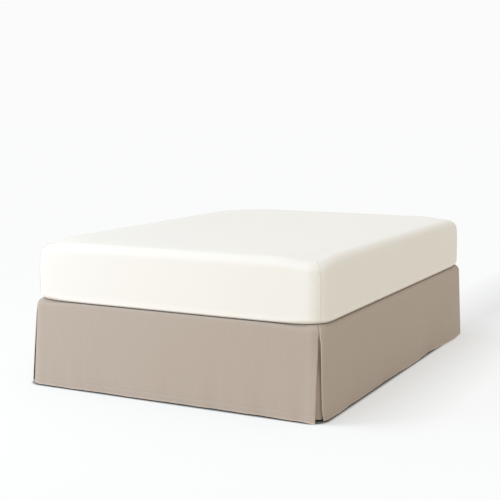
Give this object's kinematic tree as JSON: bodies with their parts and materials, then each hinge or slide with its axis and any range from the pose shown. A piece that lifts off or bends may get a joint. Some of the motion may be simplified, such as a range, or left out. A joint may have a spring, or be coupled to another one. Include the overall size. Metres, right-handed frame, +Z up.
{
  "type": "bed valance on a bed base with mattress",
  "caption": "Tailored bed valance with flat drops to the floor on the foot and sides, split at the foot corners over underlays, on a plain bed base under a mattress.",
  "frame": {"origin": "on the floor, below the middle of the whole outline", "axes": "+X across the bed towards the side that the picture shows, +Y along the bed from foot to head, +Z up"},
  "size_m": [1.435, 1.955, 0.632],
  "materials": {
    "valance_cloth": "matt taupe cotton twill",
    "mattress_cover": "smooth ivory cotton cover",
    "base_cloth": "plain grey-beige cover",
    "feet": "black"
  },
  "bodies": {
    "root": {"mattress": "mattress_cover", "base": "base_cloth", "foot_front_left": "feet", "foot_front_right": "feet", "foot_middle": "feet", "foot_head_left": "feet", "foot_head_right": "feet", "deck": "valance_cloth", "foot_panel": "valance_cloth", "side_panel_right": "valance_cloth", "side_panel_left": "valance_cloth", "corner_underlay_right": "valance_cloth", "corner_underlay_left": "valance_cloth"}
  },
  "joints": []
}
